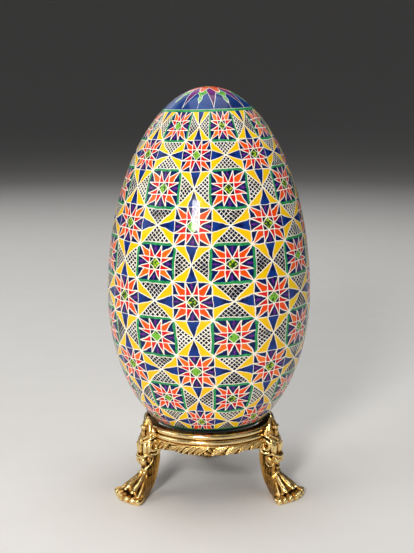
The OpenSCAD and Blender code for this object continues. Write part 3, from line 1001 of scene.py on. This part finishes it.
def make_band(mat):
    seg, n_out = 1500, 40
    th = np.arange(seg) * 2 * np.pi / seg
    phi = ((np.degrees(th) + 90 + 60) % 120) - 60       # angle from each sector's middle
    foot = 14.22 + 0.48 * np.exp(-((np.abs(phi) - 33) / 7.0) ** 2) - 0.22 * np.exp(-(phi / 3.0) ** 2)
    foot += np.where(phi > 3, 0.11 * np.cos(np.radians(phi - 3) * 28), 0.06 * np.cos(np.radians(phi) * 64))
    t = np.linspace(0, 1, n_out)
    Z = 16.98 + (foot[:, None] - 16.98) * t[None, :]
    v = Z - 14.2
    H = band_relief(th[:, None] + 0 * v, v)
    # lower edge rounds under
    edge = np.clip((Z - foot[:, None]) / 0.35, 0, 1)
    R = 18.86 - 0.30 * (1 - np.sqrt(1 - (1 - edge) ** 2)) + H * (0.35 + 0.65 * edge)
    inner = np.array([(18.2, -0.04), (17.95, 0.10)])
    Ri = np.stack([np.full(seg, 18.25), np.full(seg, 17.98), np.full(seg, 17.9), np.full(seg, 17.9), np.full(seg, 18.3)], 1)
    Zi = np.stack([foot - 0.03, foot + 0.14, foot + 0.7, np.full(seg, 16.9), np.full(seg, 17.0)], 1)
    R = np.concatenate([R, Ri], 1)
    Z = np.concatenate([Z, Zi], 1)
    n = R.shape[1]
    V = np.stack([R * np.cos(th)[:, None], R * np.sin(th)[:, None], Z], 2).reshape(-1, 3)
    j = np.arange(seg)[:, None]
    k = (j + 1) % seg
    i = np.arange(n)[None, :]
    m = (i + 1) % n
    F = np.stack([j * n + i, j * n + m, k * n + m, k * n + i], 2).reshape(-1, 4)
    ob = new_mesh("gallery_band_cast", V, F, [mat])
    # height over the local mean
    def box(A, w, ax):
        c = np.cumsum(np.concatenate([np.take(A, range(-w, 0), ax), A, np.take(A, range(0, w), ax)] if ax == 0 else
                                     [np.repeat(A[:, :1], w, 1), A, np.repeat(A[:, -1:], w, 1)], ax), ax)
        z = np.zeros_like(np.take(c, [0], ax))
        c = np.concatenate([z, c], ax)
        return (np.take(c, range(2 * w + 1, c.shape[ax]), ax) - np.take(c, range(0, c.shape[ax] - 2 * w - 1), ax)) / (2 * w + 1)
    near = box(box(H, 4, 0), 4, 1)
    far = box(box(H, 12, 0), 9, 1)
    rel = (H - near) * 2.4 + (H - far) * 1.2 + (H - 0.14) * 0.8
    rel = np.concatenate([rel, np.full((seg, 5), -0.1)], 1)
    put_hollow(ob, rel.ravel())
    return ob


def gold(name, lo, mid, hi, rough, relief=True, scale=1.0):
    """Gilt metal: dark patina in the hollows, near-white on the ridges as wear and painted highlight; the relief
    attribute of the ring and legs also carries painted shade.
    """
    m = bpy.data.materials.new(name)
    t = Tree(m)
    pos = t.coords()
    big = t.noise(pos, 120.0 * scale, 3.0, 0.55)
    fine = t.noise(pos, 900.0 * scale, 4.0, 0.6)
    grain = t.noise(pos, 3200.0 * scale, 2.0, 0.6)
    if relief:
        h = S(t, t.attr("relief").outputs["Fac"])
    else:
        h = t.ramp(big, 0.2, 0.8, -0.2, 0.3)
    f = h + (fine - 0.5) * 0.35 + (big - 0.5) * 0.30
    col = t.mix(t.ramp(f, -0.45, 0.05), lo, mid)
    # near-white hi colour on the ridges: wear and painted highlight
    col = t.mix(t.ramp(f, 0.05, 0.55), col, hi)
    # reddish copper where the gilding is thin, and specks of tarnish
    thin = t.ramp(t.noise(pos, 380.0 * scale, 3.0, 0.6), 0.58, 0.74) * t.ramp(f, -0.3, 0.3, 0.8, 0.15)
    col = t.mix(thin * 0.45, col, srgb(168, 92, 44))
    speck = t.ramp(t.noise(pos, 1500.0 * scale, 2.0, 0.5), 0.66, 0.74)
    col = t.mix(speck * 0.35, col, srgb(70, 40, 16))
    t.put(t.bsdf.inputs["Base Color"], col)
    t.bsdf.inputs["Metallic"].default_value = 1.0
    ro = t.ramp(f, -0.45, 0.35, rough[0], rough[1]) + (fine - 0.5) * 0.10 + speck * 0.15
    t.put(t.bsdf.inputs["Roughness"], ro)
    n = t.bump(fine * 0.6 + grain * 0.25 + big * 0.8, 0.5, 0.00007)
    t.links.new(n, t.bsdf.inputs["Normal"])
    return m


# the hi colours are near-white on the ridges: wear and painted highlight
mat_ring = gold("gilt_bright_metal", srgb(40, 20, 6), srgb(210, 160, 86), srgb(254, 229, 168), (0.44, 0.24))
mat_band = gold("gilt_antique_metal", srgb(38, 19, 5), srgb(206, 154, 76), srgb(255, 230, 162), (0.50, 0.28))
mat_legs = gold("gilt_leg_metal", srgb(38, 19, 5), srgb(206, 154, 78), srgb(255, 229, 160), (0.48, 0.27))

ring = make_ring(mat_ring)
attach(ring, "stand")
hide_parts("seat_ring")

band = make_band(mat_band)
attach(band, "stand")
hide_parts("gallery_band")

LEG_P, LEG_Q, LEG_H = leg_mesh()
for nm, angle, bend in (("front_left_leg", -150, 1.5), ("front_right_leg", -30, -9.0), ("back_leg", 90, 0.0)):
    leg = new_mesh(nm + "_cast", rotate_z(twist_foot(LEG_P, bend), angle), LEG_Q, [mat_legs])
    put_hollow(leg, LEG_H * 1.35 + 0.03)
    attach(leg, "stand")
    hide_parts(nm)

for nm in ("leg_rivets",):
    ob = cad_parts[nm]
    ob.data.materials.clear()
    ob.data.materials.append(gold("rivet_metal", srgb(60, 34, 12), srgb(180, 128, 58), srgb(230, 184, 104), (0.5, 0.3), relief=False))


# ---------------------------------------------------------------- floor, lights, camera
def stage_material():
    m = bpy.data.materials.new("paper_sweep")
    t = Tree(m)
    pos = t.coords()
    n = t.noise(pos, 60.0, 3.0, 0.6)
    pale = t.mix(n, srgb(228, 226, 222), srgb(234, 232, 229))
    x, y, z = t.split(pos)
    # painted shade: the sheet goes from pale near the object to mid grey towards the far sweep
    far = t.ramp((x * x + y * y).sqrt(), 0.42, 1.15)
    t.put(t.bsdf.inputs["Base Color"], t.mix(far, pale, srgb(112, 111, 110)))
    t.bsdf.inputs["Roughness"].default_value = 0.75
    t.bsdf.inputs["Specular IOR Level"].default_value = 0.2
    return m


def make_stage():
    """Pale sheet on the table, swept up well behind the object on every side."""
    r0, r1, h = 900.0, 1500.0, 900.0
    prof = [(0.0, 0.0), (200.0, 0.0), (500.0, 0.0), (r0, 0.0)]
    for k in range(1, 13):
        a = math.pi / 2 * k / 12
        prof.append((r0 + (r1 - r0) * math.sin(a), (r1 - r0) * (1 - math.cos(a))))
    prof.append((r1, h + 600))
    n = 96
    verts, faces = [(0, 0, -0.02)], []
    for r, z in prof[1:]:
        for j in range(n):
            a = 2 * math.pi * j / n
            verts.append((r * math.cos(a), r * math.sin(a), z - 0.02))
    for j in range(n):
        faces.append((0, 1 + j, 1 + (j + 1) % n))
    for i in range(len(prof) - 2):
        a0, b0 = 1 + i * n, 1 + (i + 1) * n
        for j in range(n):
            k = (j + 1) % n
            faces.append((a0 + j, b0 + j, b0 + k, a0 + k))
    ob = new_mesh("floor_sheet", verts, faces, [stage_material()])
    return ob


make_stage()


def area(name, loc, target, size, size_y, power, colour=(1, 1, 1)):
    l = bpy.data.lights.new(name, "AREA")
    l.shape = "RECTANGLE"
    l.size, l.size_y = size * MM, size_y * MM
    l.energy = power
    l.color = colour
    ob = bpy.data.objects.new(name, l)
    ob.location = Vector(loc) * MM
    d = Vector(target) * MM - ob.location
    ob.rotation_euler = d.to_track_quat("-Z", "Y").to_euler()
    scene.collection.objects.link(ob)
    return ob


area("key_softbox", (-175, -560, 292), (0, 0, 60), 100, 125, 2.6, (1.0, 0.97, 0.93))
area("side_softbox", (-700, -150, 380), (0, 0, 50), 420, 420, 1.35)
area("fill_softbox", (620, -420, 380), (0, 0, 50), 500, 500, 0.34)
area("top_softbox", (0, 60, 900), (0, 0, 50), 700, 700, 4.2)
area("back_softbox", (-300, 700, 500), (0, 0, 60), 600, 400, 0.8)

world = bpy.data.worlds.new("studio")
scene.world = world
world.use_nodes = True
bg = world.node_tree.nodes.get("Background")
bg.inputs["Color"].default_value = (0.9, 0.93, 1.0, 1)
bg.inputs["Strength"].default_value = 0.09

cam_data = bpy.data.cameras.new("camera")
cam_data.sensor_fit = "HORIZONTAL"
cam_data.sensor_width = 36.0
cam_data.lens = 1130.0 / 414.0 * 36.0
cam_data.clip_start = 0.01
cam_data.clip_end = 20.0
cam = bpy.data.objects.new("camera", cam_data)
az = math.radians(-1.5)
dist = 11 * EGG_R
cam.location = Vector((dist * math.sin(az), -dist * math.cos(az), WAIST + 2.19 * EGG_R)) * MM
cam.rotation_euler = (math.radians(90 - 10.45), 0, math.radians(-1.5 + 0.096))
scene.collection.objects.link(cam)
scene.camera = cam
scene.view_settings.view_transform = "Standard"
